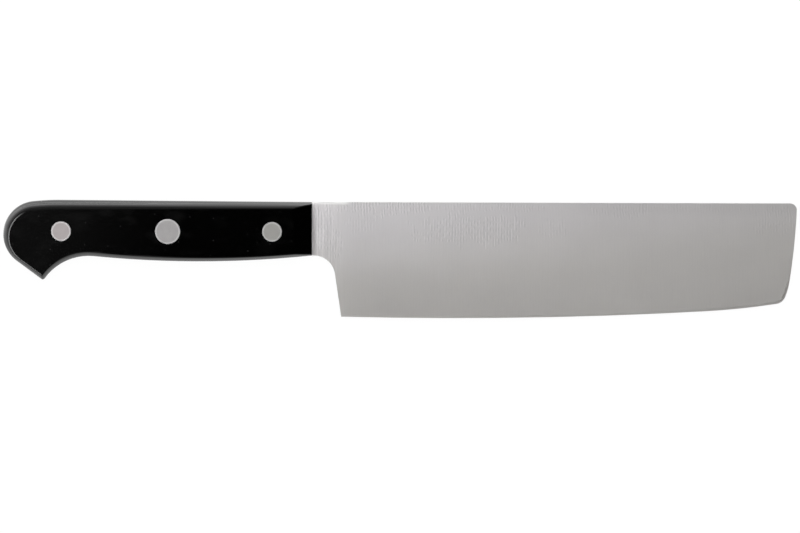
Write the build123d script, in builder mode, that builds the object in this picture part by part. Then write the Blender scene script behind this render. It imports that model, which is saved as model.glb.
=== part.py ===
from build123d import *
from math import cos, radians, tan
import os

# Nakiri kitchen knife with a full tang between two riveted handle scales.
# It lies on its side: +X points from the handle to the tip of the blade, +Y from the cutting edge
# to the spine, and +Z from the lower side of the handle to the upper side. The origin is under
# the middle of the knife, on the plane that the lower side of the handle rests on.
# Outlines are measured from the datum, which is the point of the spine at the front of the handle.
# A reach is a distance along the knife from the datum, a setback one from the end of the butt,
# and a depth a distance below the spine.
# Lengths are in millimetres and angles in degrees.

# Handle outline
handle_length = 115.3
back_rise = 0.55
shoulder_radius = 88.5
shoulder_angle = 6.2
butt_radius = 12.38
butt_angle = 137.5
hook_tip_setback = 15.0
hook_tip_depth = 29.55
hook_tip_radius = 0.8
belly_front_depth = 20.0
belly_deep_share = 0.373
belly_depth = 22.3
belly_rear_setback = 33.9
belly_rear_depth = 20.47

# Rim of a scale: how far its flat face stands in from the outline along each stretch
back_rim = 2.4
butt_rim = 2.2
butt_rim_drop = 1.15
hook_tip_rim_shift = 0.3
hook_tip_rim_lift = 1.8
hook_rim = 1.5
belly_rim = 1.3
belly_front_rim = 1.1
flat_hook_tip_radius = 0.5
mid_height_share = 0.5
mid_height_rim_share = 0.3
crease_break = 0.25

# Thickness of the handle
tang_thickness = 2.0
scale_thickness = 6.5
front_slope_length = 7.0
front_edge_height = 3.6

# Blade outline
blade_reach = 181.3
heel_reach = 11.0
heel_depth = 42.82
heel_corner_radius = 0.5
edge_deep_reach = 49.4
edge_depth = 43.25
edge_main_reach = 147.15
edge_main_depth = 40.41
edge_rise_radius = 275
edge_rise_angle = 5.55
toe_radius = 4.2
toe_angle = 57.85
toe_front_radius = 22.6
toe_front_angle = 14.54
tip_corner_radius = 2.6
choil_flat_length = 0.8
choil_radius = 7.9
choil_angle = 81.6

# Grinding of the blade
spine_softening = 0.35
ricasso_length = 2.4
grind_step = 0.04
grind_wheel_radius = 20
tip_spine_thickness = 1.8
behind_edge_thickness = 0.44
edge_thickness = 0.04
bevel_angle = 15
bevel_wheel_reach = 2.6
bevel_run_out = 9.0

# Rivets, each a post with a solid shank that is pressed into the tube of a socket
rivet_depth = 11.22
rear_rivet_setback = 21.75
middle_rivet_share = 0.4665
front_rivet_reach = 14.85
head_radius = 3.75
middle_head_radius = 4.75
head_thickness = 2.0
head_edge_break = 0.2
tube_radius = 2.5
shank_radius = 1.8
shank_lead_in = 0.4
tube_end_gap = 1.0
shank_end_gap = 0.6

# Clearances and the overrun of cuts past the surface
head_clearance = 0.03
tube_clearance = 0.05
shank_clearance = 0.01
overrun = 1.0

# Planes and heights that follow from the sizes above
handle_thickness = tang_thickness + scale_thickness * 2
datum = Vector(
    (handle_length - blade_reach) / 2,
    (edge_depth - back_rise) / 2,
    handle_thickness / 2,
)
blade_middle = Plane(datum)
tang_side = blade_middle.offset(tang_thickness / 2)
flat_side = tang_side.offset(scale_thickness)

# Name, reach and head radius of each rivet
rivets = (
    ("rear", handle_length - rear_rivet_setback, head_radius),
    ("middle", handle_length * middle_rivet_share, middle_head_radius),
    ("front", front_rivet_reach, head_radius),
)

# The back rises to its highest point where the shoulder begins, so the butt hangs below that.
butt_top_depth = shoulder_radius * (1 - cos(radians(shoulder_angle))) - back_rise
butt_centre_depth = butt_top_depth + butt_radius * cos(radians(shoulder_angle))

# Handle outline, drawn at the tang, at half the height of a scale and at its flat face
handle_outlines = []
section_shares = ((0, 0), (mid_height_share, mid_height_rim_share), (1, 1))
for height_share, rim_share in section_shares:
    front_top = (0, -back_rim * rim_share)
    front_bottom = (0, belly_front_rim * rim_share - belly_front_depth)
    belly_bottom = (-handle_length * belly_deep_share, belly_rim * rim_share - belly_depth)
    belly_rear = (belly_rear_setback - handle_length, hook_rim * rim_share - belly_rear_depth)
    hook_tip = (
        hook_tip_setback - handle_length - hook_tip_rim_shift * rim_share,
        hook_tip_rim_lift * rim_share - hook_tip_depth,
    )
    butt_centre = (
        butt_radius - handle_length,
        -butt_centre_depth - butt_rim_drop * rim_share,
    )
    tip_radius = hook_tip_radius + (flat_hook_tip_radius - hook_tip_radius) * rim_share
    with BuildSketch(tang_side.offset(scale_thickness * height_share)) as outline:
        with BuildLine():
            belly = ThreePointArc(front_bottom, belly_bottom, belly_rear)
            hook = TangentArc(belly @ 1, hook_tip, tangent=belly % 1)
            butt = CenterArc(
                butt_centre, butt_radius - butt_rim * rim_share, 90 + shoulder_angle, butt_angle
            )
            shoulder = JernArc(butt @ 0, butt % 0 * -1, shoulder_radius, -shoulder_angle)
            Line(hook @ 1, butt @ 1)
            Line(shoulder @ 1, front_top)
            Line(front_top, front_bottom)
        make_face()
        fillet(outline.vertices().sort_by(Axis.Y)[0], tip_radius)
    handle_outlines.append(outline.sketch)

# Cutting edge, from the heel to the end of the rounded toe
with BuildLine() as cutting_edge:
    main_edge = ThreePointArc(
        (heel_reach, -heel_depth),
        (edge_deep_reach, -edge_depth),
        (edge_main_reach, -edge_main_depth),
    )
    edge_rise = JernArc(main_edge @ 1, main_edge % 1, edge_rise_radius, edge_rise_angle)
    toe = JernArc(edge_rise @ 1, edge_rise % 1, toe_radius, toe_angle)

# Path of the bevel: it starts before the heel and leaves the front of the blade in a straight line
with BuildLine() as bevel_line:
    Line(main_edge @ 0 - main_edge % 0 * overrun, main_edge @ 0)
    add(cutting_edge.line)
    Line(toe @ 1, toe @ 1 + toe % 1 * bevel_run_out)
bevel_path = blade_middle * bevel_line.wire()

# Flank of the upper side of the blade: a plane that thins towards the edge and towards the tip
flank_start = datum + Vector(ricasso_length, 0, tang_thickness / 2 - grind_step)
flank_tip = datum + Vector(blade_reach, 0, tip_spine_thickness / 2)
flank_heel = datum + Vector(heel_reach, -heel_depth, behind_edge_thickness / 2)
flank_length = flank_tip - flank_start
flank = Plane(flank_start, flank_length, flank_length.cross(flank_start - flank_heel))

# Stock that the flat grind takes off both sides, with the round of the wheel at the ricasso
with BuildPart() as flank_stock:
    with BuildSketch(Plane(flank_start, flank.x_dir, -flank.y_dir)) as stock_section:
        with Locations((-grind_wheel_radius, 0)):
            Rectangle(
                blade_reach + grind_wheel_radius,
                overrun + grind_wheel_radius,
                align=(Align.MIN, Align.MIN),
            )
        wheel_corner = stock_section.vertices().group_by(Axis.X)[0].sort_by(Axis.Y)[0]
        fillet(wheel_corner, grind_wheel_radius)
    extrude(amount=edge_depth + overrun, both=True)
    mirror(about=blade_middle)

# Stock that the sharpening takes off both sides along the cutting edge
with BuildPart() as bevel_stock:
    path_start = bevel_path @ 0
    path_heading = bevel_path % 0
    bevel_slope = tan(radians(bevel_angle))
    with BuildSketch(Plane(path_start, path_heading.rotate(Axis.Z, 90), path_heading)):
        with BuildLine():
            inner_height = edge_thickness / 2 + bevel_wheel_reach * bevel_slope
            outer_height = edge_thickness / 2 - overrun * bevel_slope
            Polyline(
                (-overrun, outer_height),
                (bevel_wheel_reach, inner_height),
                (-overrun, inner_height),
                close=True,
            )
        make_face()
    sweep(path=bevel_path)
    mirror(about=blade_middle)

# Blade and tang, one piece of steel
with BuildPart() as blade:
    with BuildSketch(blade_middle):
        with BuildLine():
            add(cutting_edge.line)
            toe_front = JernArc(toe @ 1, toe % 1, toe_front_radius, toe_front_angle)
            spine_end = (blade_reach, 0)
            TangentArc(toe_front @ 1, spine_end, tangent=toe_front % 1)
            Line(spine_end, (0, 0))
            Line((0, 0), (0, -belly_front_depth))
            choil_flat = Line((0, -belly_front_depth), (choil_flat_length, -belly_front_depth))
            choil = JernArc(choil_flat @ 1, choil_flat % 1, choil_radius, -choil_angle)
            Line(choil @ 1, main_edge @ 0)
        blank_face = make_face()
        fillet(blank_face.vertices().group_by(Axis.X)[-1].sort_by(Axis.Y)[-1], tip_corner_radius)
        heel_corner = blank_face.vertices().sort_by_distance((heel_reach, -heel_depth))[0]
        fillet(heel_corner, heel_corner_radius)
    extrude(amount=tang_thickness / 2, both=True)
    spine_edges = blade.edges().filter_by(Axis.X).group_by(Axis.Y)[-1]
    fillet(spine_edges, spine_softening)
    add(flank_stock.part, mode=Mode.SUBTRACT)
    add(bevel_stock.part, mode=Mode.SUBTRACT)
    extrude(handle_outlines[0], amount=-tang_thickness)
    for rivet, reach, radius in rivets:
        with Locations(tang_side.location * Pos(-reach, -rivet_depth)):
            Hole(tube_radius + tube_clearance)
blade.part.label = "blade"

# Handle scales: a slab with a curved rim, a flat face and a slope down to the blade at the front
with BuildPart() as upper_scale:
    loft(handle_outlines)
    front_edge_top = tang_side.offset(front_edge_height).origin
    slope_normal = (scale_thickness - front_edge_height, 0, front_slope_length)
    split(bisect_by=Plane(front_edge_top, (0, 1, 0), slope_normal), keep=Keep.BOTTOM)
    creases = upper_scale.edges().filter_by(
        lambda edge: edge.bounding_box().min.Z > tang_side.origin.Z + crease_break
    )
    chamfer(creases, crease_break)
    for rivet, reach, radius in rivets:
        with Locations(flat_side.location * Pos(-reach, -rivet_depth)):
            CounterBoreHole(
                tube_radius + tube_clearance,
                radius + head_clearance,
                head_thickness,
            )
upper_scale.part.label = "upper_scale"

with BuildPart() as lower_scale:
    mirror(upper_scale.part, about=blade_middle)
lower_scale.part.label = "lower_scale"

os.makedirs("parts", exist_ok=True)
export_step(blade.part, "parts/blade.step")
export_step(upper_scale.part, "parts/upper_scale.step")
export_step(lower_scale.part, "parts/lower_scale.step")

# Rivets, turned about their own axes, the posts from below and the sockets from above
for rivet, reach, radius in rivets:
    rivet_foot = Vector(datum.X - reach, datum.Y - rivet_depth, 0)
    rivet_section = Plane(rivet_foot, (1, 0, 0), (0, -1, 0))
    rivet_axis = Axis(rivet_foot, (0, 0, 1))
    socket_seat = handle_thickness - head_thickness
    shank_end = socket_seat - shank_end_gap
    bore_radius = shank_radius + shank_clearance

    with BuildPart() as post:
        with BuildSketch(rivet_section):
            with BuildLine():
                Polyline(
                    (0, 0),
                    (radius - head_edge_break, 0),
                    (radius, head_edge_break),
                    (radius, head_thickness),
                    (shank_radius, head_thickness),
                    (shank_radius, shank_end - shank_lead_in),
                    (shank_radius - shank_lead_in, shank_end),
                    (0, shank_end),
                    close=True,
                )
            make_face()
        revolve(axis=rivet_axis)
    post.part.label = rivet + "_rivet_post"
    export_step(post.part, "parts/" + post.part.label + ".step")

    with BuildPart() as socket:
        with BuildSketch(rivet_section):
            with BuildLine():
                Polyline(
                    (0, handle_thickness),
                    (radius - head_edge_break, handle_thickness),
                    (radius, handle_thickness - head_edge_break),
                    (radius, socket_seat),
                    (tube_radius, socket_seat),
                    (tube_radius, head_thickness + tube_end_gap),
                    (bore_radius, head_thickness + tube_end_gap),
                    (bore_radius, socket_seat),
                    (0, socket_seat),
                    close=True,
                )
            make_face()
        revolve(axis=rivet_axis)
    socket.part.label = rivet + "_rivet_socket"
    export_step(socket.part, "parts/" + socket.part.label + ".step")
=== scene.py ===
import bpy
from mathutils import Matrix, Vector

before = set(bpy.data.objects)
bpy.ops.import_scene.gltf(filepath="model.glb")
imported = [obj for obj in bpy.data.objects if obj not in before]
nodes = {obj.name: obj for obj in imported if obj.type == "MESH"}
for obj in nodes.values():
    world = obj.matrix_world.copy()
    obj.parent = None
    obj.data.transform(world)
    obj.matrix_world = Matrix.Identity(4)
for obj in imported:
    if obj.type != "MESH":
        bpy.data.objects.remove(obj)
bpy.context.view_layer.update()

# Sizes in metres, in the knife's own frame: +X to the tip, +Y to the spine, +Z up
SCALE_FRONT = -0.0330
SPINE_Y = 0.02135
RIVET_Y = SPINE_Y - 0.01122
HALF_TANG = 0.0010
HALF_HANDLE = 0.0075
MIDDLE_Z = HALF_HANDLE

# How the values below are written:
# a change has where it starts, where it ends and the value at each, which is 0 and 1 where
# it is left out and the call gives no other;
# a change along the knife lies between reaches, measured forward from the handle's front;
# a change across it lies between depths, measured down from the spine;
# noise has its cells a metre along X, Y and Z;
# a relief has its depth in metres and how strongly it shows;
# a roughness has its middle and its swing;
# a range has its lowest and its highest value, which follow noise.

# Blade: colours and finish
STEEL_WARM = (0.628, 0.611, 0.592, 1)
STEEL_COOL = (0.649, 0.631, 0.638, 1)
# the colour of the painted glint on the spine's rounded edge
SPINE_GLINT_COLOUR = (0.97, 0.965, 0.96, 1)
STEEL_ROUGHNESS = (0.40, 0.10)
STEEL_ANISOTROPY = 0.5
STEEL_RELIEF = (0.00002, 0.55)
STEEL_LINES = (3600, 110, 110)
STEEL_CLOUDS = (60, 95, 95)
LINES_HEIGHT = 0.35
MARKS_HEIGHT = 0.2
LINES_TONE = 0.015
CLOUDS_TONE = 0.014
MARKS_TONE = 0.12

# Blade: changes along it
# painted light beside the handle
PAINTED_LIGHT_BESIDE_HANDLE = (0.0180, 0.0020, 0.0, 0.11)
# a painted bright line at the handle's front, lifting the handle's shadow, and a darker strip
# behind it
FRONT_LIGHT_LINE_AND_DARK_STRIP = (0.0003, 0.0009, 0.25, -0.14)
FRONT_LIGHT_LINE_AND_DARK_STRIP_END = (0.0013, 0.0010, 0.0, 1.0)
MARKS_BESIDE_HANDLE = (0.0130, 0.0050, 0.0, 1.0)
# painted shade at the heel, towards the tip and along the spine near the tip
PAINTED_SHADE_AT_HEEL = (0.1200, 0.0450, 0.0, -0.105)
PAINTED_SHADE_TO_TIP = (0.0500, 0.1200, 1.0, 0.965)
PAINTED_SHADE_TIP_SPINE = (0.0600, 0.1200, 0.0, -0.055)
# the tang, behind the handle's front, is darker
DARKER_TANG = (0.0, -0.0005, 0.0, -0.28)
# where the painted glint on the spine starts and ends
SPINE_GLINT_FRONT = (0.0150, 0.0120, 0.0, 1.0)
SPINE_GLINT_BACK = (-0.0005, 0.0, 0.0, 1.0)

# Blade: changes across it, the cool one tilted, so that it starts higher nearer the tip
UNEVEN_AT_SPINE = (0.0055, 0.0025, 1.8, 5.5)
# where the painted shade at the heel and along the spine near the tip lies
LOW_ON_BLADE = (0.0170, 0.0340, 0.0, 1.0)
ALONG_SPINE = (0.0060, 0.0015, 0.0, 1.0)
# where the painted glint on the spine lies
SPINE_GLINT_DEPTHS = (0.0012, 0.0004, 0.0, 0.9)
COOLER_UPWARD = (0.0340, 0.0040, 0.0, 1.0)
COOL_TILT = -0.09

# Blade: the painted highlight on the edge's bevel, by how far its normal faces up or down, to the
# spine and to the tip
BEVEL_UPRIGHT = (0.990, 0.975)
BEVEL_EDGEWARD = (0.02, 0.0)
BEVEL_HIGHLIGHT_TO_TOE = (0.0, 0.12, 0.06, 0.50)

# Blade: where the grinding marks show. Each place has its reach, its depth, half its length,
# half its width and how strongly the marks show there. It fades by shares of its size
GRINDING_MARKS = (
    (0.0040, 0.0080, 0.0055, 0.0100, 1.10),
    (0.0085, 0.0165, 0.0034, 0.0060, 0.90),
    (0.0250, 0.0022, 0.0230, 0.0030, 1.05),
    (0.0180, 0.0070, 0.0060, 0.0045, 0.50),
    (0.0605, 0.0098, 0.0212, 0.0062, 0.95),
    (0.0620, 0.0020, 0.0300, 0.0018, 0.60),
    (0.0900, 0.0095, 0.0060, 0.0040, 0.50),
    (0.1150, 0.0028, 0.0120, 0.0026, 0.50),
    (0.1450, 0.0020, 0.0220, 0.0016, 0.30),
    (0.1740, 0.0060, 0.0080, 0.0062, 0.48),
)
MARKS_ELSEWHERE = 0.06
PLACE_FADES = (1.15, 0.75)
PLACE_RAGGED = 0.4
PLACE_RAGS = (260, 200, 200)

# Blade: the marks are a comb of waves, in radians a metre, with 1.1 mm from one to the next.
# It wanders by so many radians, and its marks break off where the noise of breaks is low
COMB_PHASE = 5800.0
COMB_WANDER = 9.0
COMB_WANDERS = (120, 42, 42)
COMB_JITTERS = (420, 520, 520)
MARK_SIDES = (-0.6, 0.6, -1.0, 1.0)
MARK_BREAKS = (900, 640, 640)
MARK_BREAKS_OFF = (0.40, 0.58)
LONG_MARKS = (1700, 75, 75)
LONG_MARKS_SIDES = (0.42, 0.66, -0.5, 1.0)
LONG_MARKS_STRENGTH = 0.8

# Handle: colours, as shares of the light that the plastic gives back, and finish
PLASTIC_FRONT = 0.0001
# the black towards the butt, lighter as painted light
PLASTIC_BUTT_PAINTED_LIGHT = 0.0021
PLASTIC_SMEARED = 0.0042
# the grey of the painted highlight on the crease round the butt
CREASE_HIGHLIGHT_GREY = 0.12
DUST = 0.03
DUST_COVER = 0.35
PLASTIC_IOR = 1.39
PLASTIC_RELIEF = (0.00003, 0.35)
PLASTIC_GRAIN = (2600, 2600, 2600)
PLASTIC_WAVES = (160, 160, 160)
GRAIN_HEIGHT = 0.5
GRAIN_RANGE = (0.07, 0.095)
RIM_ROUGHER = 0.08
SMEARS = (95, 150, 150)
SMEARS_TURN = (0, 0, 0.6)
SMEARS_SHOW = (0.52, 0.78)
DUST_CELLS = (230, 230, 230)
SPECK_FADES = (0.03, 0.075, 1.0, 0.0)
SPECK_CHANCE = (0.50, 0.95)

# Handle: changes along it
REARWARD = (-0.0320, -0.0750, 0.0, 1.0)
# where the painted light towards the butt comes in
PAINTED_LIGHT_TO_BUTT = (-0.0450, -0.1120, 0.0, 1.0)
SMEARS_TO_BUTT = (-0.0350, -0.0650, 0.3, 1.0)

# Handle: changes by how far it faces up or down, from 1 on the flats to 0 on a wall
FLAT = (0.95, 0.99)
WALL = (0.88, 0.76)
GRAINED_RIM = (0.93, 0.75)
BREAK_FROM_WALL = (0.74, 0.78)
BREAK_FROM_FLAT = (0.985, 0.96)

# Handle: changes by how far it faces the spine's side, from 1 on the back to -1 on the belly,
# and by how far it faces the tip, from 1 to -1 at the butt
OUTER_TO_BACK = (0.30, 0.85)
INNER_TO_BACK = (-0.1, 0.8, 0.25, 1.0)
LIP_TO_BACK = (0.35, 0.65)
LEAN_BELLY = (0.15, -0.25, 0.0, 0.17)
LEAN_BELLY_LIP = (0.15, -0.25, 0.0, 0.8)
# where the painted highlight on the crease shows
HIGHLIGHT_TO_BACK = (-0.45, -0.20, 0.70, 1.0)
HIGHLIGHT_TO_BUTT = (-0.12, -0.36)

# Handle: changes by the share of the rim's height
OUTER_SHARES = (0.35, 0.54)
BELLY_SHARES = (0.55, 1.0, 1.0, 0.3)
BELLY_LIP_SHARES = (0.92, 0.965)
BREAK_SHARES = (0.93, 0.96)
LIP_SHARE = 0.04

# Handle: how far the normal leans towards the flat face on the rim along the back, and the
# shares of its height where it starts to turn in and where its lip starts. Each pair has the
# value in front and the one at the rear
LEAN_FOOT = 0.03
LEAN_OUTER = (-0.11, -0.25)
LEAN_INNER = (0.52, 0.85)
LEAN_LIP = (1.20, 0.45)
INNER_START_SHARES = (0.76, 0.71)
LIP_START_SHARES = (0.95, 0.89)

# Rivets: how far each lies behind the handle's front, the radius of its head and its colour,
# which is lighter on the rear rivet and darker on the front one as painted light and shade
RIVETS = {
    "rear": (0.09355, 0.00375, (0.523, 0.486, 0.486, 1)),
    "middle": (0.05379, 0.00475, (0.469, 0.458, 0.458, 1)),
    "front": (0.01485, 0.00375, (0.420, 0.414, 0.397, 1)),
}
RIVET_ROUGHNESS = (0.72, 0.12)
RIVET_RELIEF = (0.00001, 0.5)
RIVET_LINES = (1900, 260, 260)
RIVET_LINES_TURN = (0, 0, 0.5)
RIVET_LINES_RANGE = (0.95, 1.04)
RIVET_CLOUDS = (420, 420, 420)
RIVET_CLOUDS_TONE = 0.03
RIVET_CLOUDS_HEIGHT = 0.5
# the painted highlight round the rim of each head
RING_INSIDE = 0.0008
RING_OUTSIDE = 0.0004
RING_HIGHLIGHT_GAIN = 0.40
RING_HIGHLIGHT_SATURATION = 0.3

# Floor
FLOOR_SIZE = 12.0
FLOOR_GAP = 0.00002
FLOOR_WHITE = 0.92
FLOOR_GLOW_SHARE = 0.96

# Studio: its glow by the height that it comes from, and where the ring of cards is open
HORIZON_GLOW = (0.02, 0.16, 0.85, 0.0)
CARDS_GLOW = (0.78, 0.58, 0.0, 0.45)
CARDS_OPENING = (0.75, 0.45)

# Studio: each softbox has its place, its width and height, and its power in watts
SOFTBOXES = {
    "main_softbox": ((-0.11, 0.35, 0.80), (0.5, 0.5), 5.05),
    "front_softbox": ((-0.20, -0.40, 0.95), (0.6, 0.4), 1.32),
    "right_softbox": ((0.45, -0.25, 1.00), (0.3, 0.3), 0.24),
}
OVERHEAD_FILL = ((0.0, 0.0, 5.0), (4.0, 4.0), 260.0)

# Camera: its place from the handle's front, the spine and the middle of the knife's thickness
CAMERA_REACH = 0.03294
CAMERA_DEPTH = 0.0240
CAMERA_HEIGHT = 4.0
CAMERA_TURN = 0.00284
CAMERA_NEAR = 0.1
CAMERA_FAR = 50.0
SENSOR_WIDTH = 36.0
PIXELS_WIDE = 800
METRES_A_PIXEL = 0.00037366


# Node helpers
class Graph:
    """A material's or a world's node tree, with short calls that add a node and link it."""

    def __init__(self, owner):
        self.tree = owner.node_tree
        self.tree.nodes.clear()

    def add(self, kind, inputs=None, **settings):
        node = self.tree.nodes.new(kind)
        for name, value in settings.items():
            setattr(node, name, value)
        for name, value in (inputs or {}).items():
            self.put(node.inputs[name], value)
        return node

    def put(self, socket, value):
        if isinstance(value, bpy.types.NodeSocket):
            self.tree.links.new(value, socket)
        else:
            socket.default_value = value

    def math(self, operation, *values):
        node = self.add("ShaderNodeMath", operation=operation)
        for socket, value in zip(node.inputs, values):
            self.put(socket, value)
        return node.outputs[0]

    def total(self, first, *others):
        for other in others:
            first = self.math("ADD", first, other)
        return first

    def product(self, first, *others):
        for other in others:
            first = self.math("MULTIPLY", first, other)
        return first

    def place(self, scale=(1, 1, 1), shift=(0, 0, 0), turn=(0, 0, 0)):
        """The object's own coordinates, in metres, scaled, shifted and turned."""
        coords = self.add("ShaderNodeTexCoord").outputs["Object"]
        mapping = self.add(
            "ShaderNodeMapping",
            {"Vector": coords, "Scale": scale, "Location": shift, "Rotation": turn},
        )
        return mapping.outputs[0]

    def facing(self):
        """X, Y and Z of the object's own normal."""
        return self.split(self.add("ShaderNodeTexCoord").outputs["Normal"])

    def split(self, vector):
        return self.add("ShaderNodeSeparateXYZ", {"Vector": vector}).outputs

    def length(self, vector):
        return self.add("ShaderNodeVectorMath", {0: vector}, operation="LENGTH").outputs["Value"]

    def noise(self, cells, detail=2.0, rough=0.5, turn=(0, 0, 0)):
        node = self.add(
            "ShaderNodeTexNoise",
            {
                "Vector": self.place(scale=cells, turn=turn),
                "Scale": 1.0,
                "Detail": detail,
                "Roughness": rough,
            },
        )
        return node.outputs["Fac"]

    def span(self, value, low, high, to_low=0.0, to_high=1.0, smooth=False):
        """Maps value from low..high to to_low..to_high, held at the ends."""
        node = self.add("ShaderNodeMapRange", clamp=True)
        if smooth:
            node.interpolation_type = "SMOOTHSTEP"
        for name, number in (
            ("Value", value),
            ("From Min", low),
            ("From Max", high),
            ("To Min", to_low),
            ("To Max", to_high),
        ):
            self.put(node.inputs[name], number)
        return node.outputs["Result"]

    def along(self, x, change, smooth=False):
        """A change between two reaches, measured forward from the handle's front."""
        start, end, at_start, at_end = change
        return self.span(x, SCALE_FRONT + start, SCALE_FRONT + end, at_start, at_end, smooth)

    def across(self, y, change, smooth=False):
        """A change between two depths, measured down from the spine."""
        start, end, at_start, at_end = change
        return self.span(y, SPINE_Y - start, SPINE_Y - end, at_start, at_end, smooth)

    def between(self, share, pair):
        """From the pair's first value to its second, as share goes from 0 to 1."""
        return self.span(share, 0.0, 1.0, *pair)

    def spread(self, noise, low, high):
        """Noise, which mostly stays from 0.3 to 0.7, spread over low..high."""
        return self.span(noise, 0.3, 0.7, low, high)

    def about(self, noise, middle, swing):
        """A value that swings about its middle as the noise does about a half."""
        return self.total(middle, self.product(self.math("SUBTRACT", noise, 0.5), swing))

    def mix_colour(self, factor, a, b):
        # a mix of colours has its factor, its two colours and its result at these places
        node = self.add("ShaderNodeMix", {0: factor, 6: a, 7: b}, data_type="RGBA")
        return node.outputs[2]

    def shade(self, colour, level, saturation=1.0):
        """The colour, made brighter or darker by level and paler by saturation."""
        node = self.add(
            "ShaderNodeHueSaturation",
            {"Color": colour, "Value": level, "Saturation": saturation},
        )
        return node.outputs[0]

    def mix_shader(self, factor, first, second):
        node = self.add("ShaderNodeMixShader", {0: factor, 1: first, 2: second})
        return node.outputs[0]

    def bump(self, height, relief, normal=None):
        distance, strength = relief
        node = self.add(
            "ShaderNodeBump", {"Height": height, "Distance": distance, "Strength": strength}
        )
        if normal is not None:
            self.put(node.inputs["Normal"], normal)
        return node.outputs[0]

    def surface(self, **inputs):
        """Ends the tree with a Principled shader; underscores in names stand for spaces."""
        shader = self.add("ShaderNodeBsdfPrincipled")
        for name, value in inputs.items():
            self.put(shader.inputs[name.replace("_", " ")], value)
        self.add("ShaderNodeOutputMaterial", {"Surface": shader.outputs[0]})


def new_material(name):
    material = bpy.data.materials.new(name)
    material.use_nodes = True
    return material, Graph(material)


def grey(value):
    return (value, value, value, 1.0)


# The blade's steel
def marks_shown(g):
    """How strongly the grinding marks show: ragged ellipses, the strongest at each point."""
    ragged = g.spread(g.noise(PLACE_RAGS), -PLACE_RAGGED, PLACE_RAGGED)
    shown = MARKS_ELSEWHERE
    for reach, depth, half_length, half_width, strength in GRINDING_MARKS:
        centre_x = SCALE_FRONT + reach
        centre_y = SPINE_Y - depth
        scale = (1 / half_length, 1 / half_width, 0)
        shift = (-centre_x / half_length, -centre_y / half_width, 0)
        away = g.total(g.length(g.place(scale, shift)), ragged)
        here = g.span(away, *PLACE_FADES, 0.0, strength, smooth=True)
        shown = g.math("MAXIMUM", shown, here)
    return shown


def grinding_marks(g, x, y):
    """A comb of short lines, broken up, less even near the spine, and shown in places only."""
    comb = g.total(g.product(x, COMB_PHASE), g.product(g.noise(COMB_WANDERS), COMB_WANDER))
    jitter = g.product(g.noise(COMB_JITTERS, detail=1.0), g.across(y, UNEVEN_AT_SPINE))
    marks = g.span(g.math("SINE", g.total(comb, jitter)), *MARK_SIDES)
    broken = g.span(g.noise(MARK_BREAKS, detail=1.0), *MARK_BREAKS_OFF)
    return g.product(marks, broken, marks_shown(g))


def long_marks(g, x):
    """Longer and broader lines beside the handle, where the wheel didn't reach."""
    lines = g.span(g.noise(LONG_MARKS, detail=1.5), *LONG_MARKS_SIDES)
    near_handle = g.along(x, MARKS_BESIDE_HANDLE, smooth=True)
    return g.product(lines, near_handle, LONG_MARKS_STRENGTH)


def painted_steel_light(g, x, y):
    """Painted light and shade on the blade: painted shade to the tip and the heel, painted light
    beside the handle.
    """
    tip_spine = g.product(
        g.across(y, ALONG_SPINE, smooth=True),
        g.along(x, PAINTED_SHADE_TIP_SPINE),
    )
    towards_tip = g.total(g.along(x, PAINTED_SHADE_TO_TIP), tip_spine)
    # a painted bright line, lifting the handle's shadow, and a darker strip border the handle's
    # front
    front_light_line_and_dark_strip = g.product(g.along(x, FRONT_LIGHT_LINE_AND_DARK_STRIP), g.along(x, FRONT_LIGHT_LINE_AND_DARK_STRIP_END))
    heel = g.product(g.across(y, LOW_ON_BLADE, smooth=True), g.along(x, PAINTED_SHADE_AT_HEEL))
    to_handle = g.total(g.along(x, PAINTED_LIGHT_BESIDE_HANDLE, smooth=True), front_light_line_and_dark_strip, heel)
    return g.total(towards_tip, to_handle)


def painted_bevel_highlight(g):
    """A painted highlight on the narrow bevel of the edge, brightest round the toe."""
    facing = g.facing()
    on_bevel = g.span(g.math("ABSOLUTE", facing["Z"]), *BEVEL_UPRIGHT)
    edgeward = g.span(facing["Y"], *BEVEL_EDGEWARD)
    toward_toe = g.span(facing["X"], *BEVEL_HIGHLIGHT_TO_TOE)
    return g.product(on_bevel, edgeward, toward_toe)


def blade_steel():
    """Satin stainless steel, ground across the blade: fine lines run from spine to edge."""
    material, g = new_material("blade_steel")
    spot = g.split(g.place())
    x = spot["X"]
    y = spot["Y"]

    fine = g.noise(STEEL_LINES, detail=3.0, rough=0.6)
    cloud = g.noise(STEEL_CLOUDS)
    marks = g.total(grinding_marks(g, x, y), long_marks(g, x))
    height = g.total(g.product(fine, LINES_HEIGHT), g.product(marks, MARKS_HEIGHT))

    # cool towards the spine and warm towards the edge, more of it warm nearer the tip
    tilted = g.math("MULTIPLY_ADD", x, COOL_TILT, y)
    base = g.mix_colour(g.across(tilted, COOLER_UPWARD, smooth=True), STEEL_WARM, STEEL_COOL)
    tone = g.total(
        g.product(marks, MARKS_TONE),
        g.spread(fine, -LINES_TONE, LINES_TONE),
        g.spread(cloud, -CLOUDS_TONE, CLOUDS_TONE),
    )
    # the edge of the tang, behind the handle's front, is darker
    level = g.total(painted_steel_light(g, x, y), tone, painted_bevel_highlight(g), g.along(x, DARKER_TANG))
    toned = g.shade(base, level)
    # a painted highlight: the spine is painted brighter, as the glint of its rounded edge, over a
    # thumb's width in front of the handle
    at_thumb = g.product(g.along(x, SPINE_GLINT_FRONT), g.along(x, SPINE_GLINT_BACK))
    spine_glint = g.product(g.across(y, SPINE_GLINT_DEPTHS), at_thumb)

    g.surface(
        Base_Color=g.mix_colour(spine_glint, toned, SPINE_GLINT_COLOUR),
        Metallic=1.0,
        Roughness=g.about(fine, *STEEL_ROUGHNESS),
        Anisotropic=STEEL_ANISOTROPY,
        Tangent=g.add("ShaderNodeCombineXYZ", {"X": 1.0}).outputs[0],
        Normal=g.bump(height, STEEL_RELIEF),
    )
    return material


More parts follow.
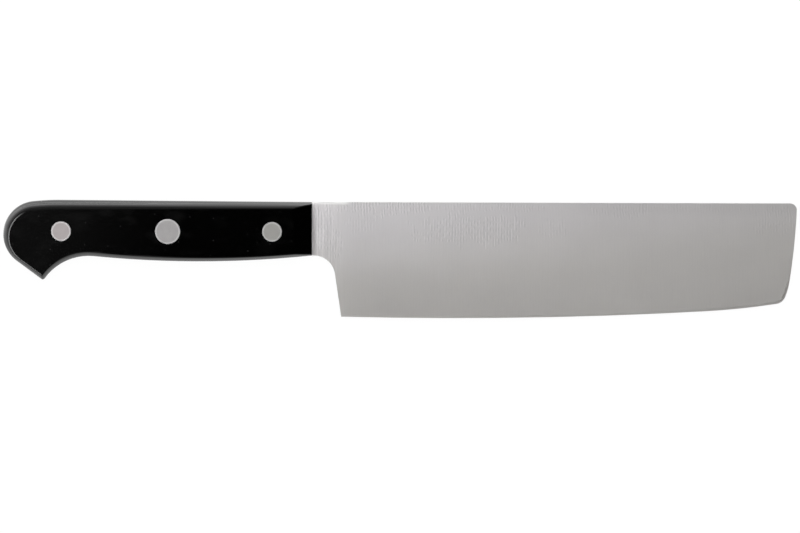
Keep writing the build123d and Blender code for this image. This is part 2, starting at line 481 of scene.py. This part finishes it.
# The handle's plastic
def rim_lean(g, x, side, rise, spineward):
    """How far the rim's normal leans towards the flat face, by the share rise of its height."""
    rearward = g.along(x, REARWARD)
    # along the back the rim stands steep at first and turns in faster near the crease
    steep = g.between(rearward, LEAN_OUTER)
    outer = g.span(rise, *OUTER_SHARES, LEAN_FOOT, steep, smooth=True)
    outer = g.product(outer, g.span(spineward, *OUTER_TO_BACK))
    inner_start = g.between(rearward, INNER_START_SHARES)
    inner = g.span(rise, inner_start, 1.0, 0.0, g.between(rearward, LEAN_INNER))
    inner = g.product(inner, g.span(spineward, *INNER_TO_BACK))
    # along the belly, the hook and the butt it slopes more evenly
    even = g.product(g.span(spineward, *LEAN_BELLY), g.span(rise, *BELLY_SHARES))
    # the last of the rim lies almost flat
    belly_lip = g.product(g.span(spineward, *LEAN_BELLY_LIP), g.span(rise, *BELLY_LIP_SHARES))
    lip_start = g.between(rearward, LIP_START_SHARES)
    back_lip = g.product(
        g.span(spineward, *LIP_TO_BACK, 0.0, g.between(rearward, LEAN_LIP)),
        g.span(rise, lip_start, g.total(lip_start, LIP_SHARE)),
    )
    lean = g.total(outer, inner, even, g.total(belly_lip, back_lip))
    return g.product(lean, g.math("SIGN", side))


def leaning_normal(g, lean):
    """The surface's normal with lean added to its Z."""
    straight = g.add("ShaderNodeNewGeometry").outputs["Normal"]
    up = g.add("ShaderNodeCombineXYZ", {"Z": lean}).outputs[0]
    leaning = g.add("ShaderNodeVectorMath", {0: straight, 1: up}, operation="ADD").outputs[0]
    return g.add("ShaderNodeVectorMath", {0: leaning}, operation="NORMALIZE").outputs[0]


def dust_specks(g):
    """Small round specks, in some of the cells only."""
    cells = g.add(
        "ShaderNodeTexVoronoi",
        {"Vector": g.place(scale=DUST_CELLS), "Scale": 1.0},
        voronoi_dimensions="2D",
    )
    chance = g.add("ShaderNodeSeparateColor", {"Color": cells.outputs["Color"]}).outputs[0]
    return g.product(
        g.span(cells.outputs["Distance"], *SPECK_FADES),
        g.span(chance, *SPECK_CHANCE),
    )


def painted_crease_highlight(g, facing, upright, rise):
    """A painted highlight on the narrow break of the crease, round the back of the butt."""
    on_break = g.product(
        g.span(upright, *BREAK_FROM_WALL),
        g.span(upright, *BREAK_FROM_FLAT),
        g.span(rise, *BREAK_SHARES),
    )
    backward = g.span(facing["X"], *HIGHLIGHT_TO_BUTT, smooth=True)
    crease_highlight = g.product(backward, g.span(facing["Y"], *HIGHLIGHT_TO_BACK))
    return g.product(crease_highlight, on_break)


def black_plastic():
    """Black moulded and ground plastic, smooth on the flat and finely grained on the rim."""
    material, g = new_material("black_plastic")
    facing = g.facing()
    upright = g.math("ABSOLUTE", facing["Z"])
    spot = g.split(g.place())
    x = spot["X"]
    side = g.math("SUBTRACT", spot["Z"], MIDDLE_Z)
    rise = g.span(g.math("ABSOLUTE", side), HALF_TANG, HALF_HANDLE)

    # the flats keep their own normal
    lean = g.product(rim_lean(g, x, side, rise, facing["Y"]), g.span(upright, *WALL))
    grain = g.noise(PLASTIC_GRAIN, rough=0.6)
    height = g.total(g.product(grain, GRAIN_HEIGHT), g.noise(PLASTIC_WAVES))
    rim = g.span(upright, *GRAINED_RIM)
    rough = g.total(g.product(rim, RIM_ROUGHER), g.spread(grain, *GRAIN_RANGE))

    # black, lighter to the butt as painted light, then the smears, the dust and the painted
    # highlight on the crease
    butt_light = g.along(x, PAINTED_LIGHT_TO_BUTT, smooth=True)
    base = g.mix_colour(butt_light, grey(PLASTIC_FRONT), grey(PLASTIC_BUTT_PAINTED_LIGHT))
    on_flat = g.span(upright, *FLAT)
    smear = g.noise(SMEARS, detail=3.0, rough=0.6, turn=SMEARS_TURN)
    smear = g.product(g.span(smear, *SMEARS_SHOW), on_flat, g.along(x, SMEARS_TO_BUTT))
    base = g.mix_colour(smear, base, grey(PLASTIC_SMEARED))
    dust = g.product(dust_specks(g), on_flat, DUST_COVER)
    base = g.mix_colour(dust, base, grey(DUST))
    # a painted highlight on the crease round the butt
    crease_highlight = painted_crease_highlight(g, facing, upright, rise)
    base = g.mix_colour(crease_highlight, base, grey(CREASE_HIGHLIGHT_GREY))

    g.surface(
        Base_Color=base,
        Roughness=rough,
        Normal=g.bump(height, PLASTIC_RELIEF, leaning_normal(g, lean)),
        IOR=PLASTIC_IOR,
    )
    return material


# The rivets' steel
def lit_rivet_steel(place, behind_front, radius, colour):
    """Stainless rivet heads, sanded flush with the handle, with a painted highlight a little
    brighter round the rim.
    """
    material, g = new_material(place + "_lit_rivet_steel")
    fine = g.noise(RIVET_LINES, detail=3.0, rough=0.6, turn=RIVET_LINES_TURN)
    cloud = g.noise(RIVET_CLOUDS)
    centre_x = SCALE_FRONT - behind_front
    from_axis = g.length(g.place(scale=(1, 1, 0), shift=(-centre_x, -RIVET_Y, 0)))
    # a painted highlight round the rim of the head, brighter and paler
    ring = g.span(from_axis, radius - RING_INSIDE, radius - RING_OUTSIDE, 0.0, RING_HIGHLIGHT_GAIN)
    level = g.total(
        g.spread(fine, *RIVET_LINES_RANGE),
        g.spread(cloud, -RIVET_CLOUDS_TONE, RIVET_CLOUDS_TONE),
        ring,
    )
    less_colour = g.span(ring, 0.0, RING_HIGHLIGHT_GAIN, 1.0, RING_HIGHLIGHT_SATURATION)
    height = g.total(fine, g.product(cloud, RIVET_CLOUDS_HEIGHT))
    # the colour given is lighter on the rear rivet and darker on the front one, as painted light
    # and shade
    g.surface(
        Base_Color=g.shade(colour, level, less_colour),
        Metallic=1.0,
        Roughness=g.about(fine, *RIVET_ROUGHNESS),
        Normal=g.bump(height, RIVET_RELIEF),
    )
    return material


def dress(node, material):
    """Gives the whole node one material."""
    mesh = node.data
    mesh.materials.clear()
    mesh.materials.append(material)


def dress_knife():
    steel = blade_steel()
    plastic = black_plastic()
    rivets = {place: lit_rivet_steel(place, *sizes) for place, sizes in RIVETS.items()}
    for name, node in nodes.items():
        if "rivet" in name:
            dress(node, rivets[name.split("_")[0]])
        elif "scale" in name:
            dress(node, plastic)
        else:
            dress(node, steel)


# Floor, world, lights and camera
def make_floor():
    """A matt white floor that glows to the camera and in reflections, and is clear from below."""
    bpy.ops.mesh.primitive_plane_add(size=FLOOR_SIZE, location=(0, 0, -FLOOR_GAP))
    floor = bpy.context.object
    floor.name = "floor"
    material, g = new_material("floor_white")
    matt = g.add("ShaderNodeBsdfDiffuse", {"Color": grey(FLOOR_WHITE)}).outputs[0]
    glow = g.add("ShaderNodeEmission", {"Color": grey(1.0), "Strength": 1.0}).outputs[0]
    rays = g.add("ShaderNodeLightPath").outputs
    seen = g.math("MAXIMUM", rays["Is Camera Ray"], rays["Is Glossy Ray"])
    top = g.mix_shader(g.product(seen, FLOOR_GLOW_SHARE), matt, glow)
    clear = g.add("ShaderNodeBsdfTransparent").outputs[0]
    below = g.add("ShaderNodeNewGeometry").outputs["Backfacing"]
    g.add("ShaderNodeOutputMaterial", {"Surface": g.mix_shader(below, top, clear)})
    floor.data.materials.append(material)


def make_world():
    """White to the camera; to the object, bright at the horizon and dark overhead.

    A ring of pale cards stands higher round the knife, open towards its tip."""
    world = bpy.data.worlds.new("studio")
    bpy.context.scene.world = world
    world.use_nodes = True
    g = Graph(world)
    direction = g.split(g.add("ShaderNodeTexCoord").outputs["Generated"])
    horizon = g.span(direction["Z"], *HORIZON_GLOW, smooth=True)
    cards = g.span(direction["Z"], *CARDS_GLOW, smooth=True)
    ring = g.span(direction["X"], *CARDS_OPENING, smooth=True)
    level = g.math("MAXIMUM", horizon, g.product(cards, ring))
    lit = g.add("ShaderNodeBackground", {"Color": grey(1.0), "Strength": level}).outputs[0]
    white = g.add("ShaderNodeBackground", {"Color": grey(1.0), "Strength": 1.0}).outputs[0]
    to_camera = g.add("ShaderNodeLightPath").outputs["Is Camera Ray"]
    g.add("ShaderNodeOutputWorld", {"Surface": g.mix_shader(to_camera, lit, white)})


def softbox(name, place, size, power):
    """A rectangular soft light at place, turned towards the middle of the knife."""
    data = bpy.data.lights.new(name, "AREA")
    data.shape = "RECTANGLE"
    data.size, data.size_y = size
    data.energy = power
    lamp = bpy.data.objects.new(name, data)
    bpy.context.collection.objects.link(lamp)
    lamp.location = place
    lamp.rotation_mode = "QUATERNION"
    aim = Vector((0, 0, MIDDLE_Z)) - Vector(place)
    lamp.rotation_quaternion = aim.to_track_quat("-Z", "Y")
    return lamp


def make_lights():
    for name, settings in SOFTBOXES.items():
        softbox(name, *settings)
    # a large soft light behind the camera lights the matt floor and isn't seen in reflections
    fill = softbox("overhead_fill", *OVERHEAD_FILL)
    fill.visible_camera = False
    fill.visible_glossy = False


def make_camera():
    """Looks straight down on the knife from far off, with the spine sloping as photographed."""
    data = bpy.data.cameras.new("camera")
    data.sensor_width = SENSOR_WIDTH
    data.lens = data.sensor_width * CAMERA_HEIGHT / (PIXELS_WIDE * METRES_A_PIXEL)
    data.clip_start = CAMERA_NEAR
    data.clip_end = CAMERA_FAR
    camera = bpy.data.objects.new("camera", data)
    bpy.context.collection.objects.link(camera)
    camera.location = (
        SCALE_FRONT + CAMERA_REACH,
        SPINE_Y - CAMERA_DEPTH,
        MIDDLE_Z + CAMERA_HEIGHT,
    )
    camera.rotation_euler = (0.0, 0.0, CAMERA_TURN)
    bpy.context.scene.camera = camera


dress_knife()
make_floor()
make_world()
make_lights()
make_camera()
bpy.context.scene.view_settings.view_transform = "Standard"
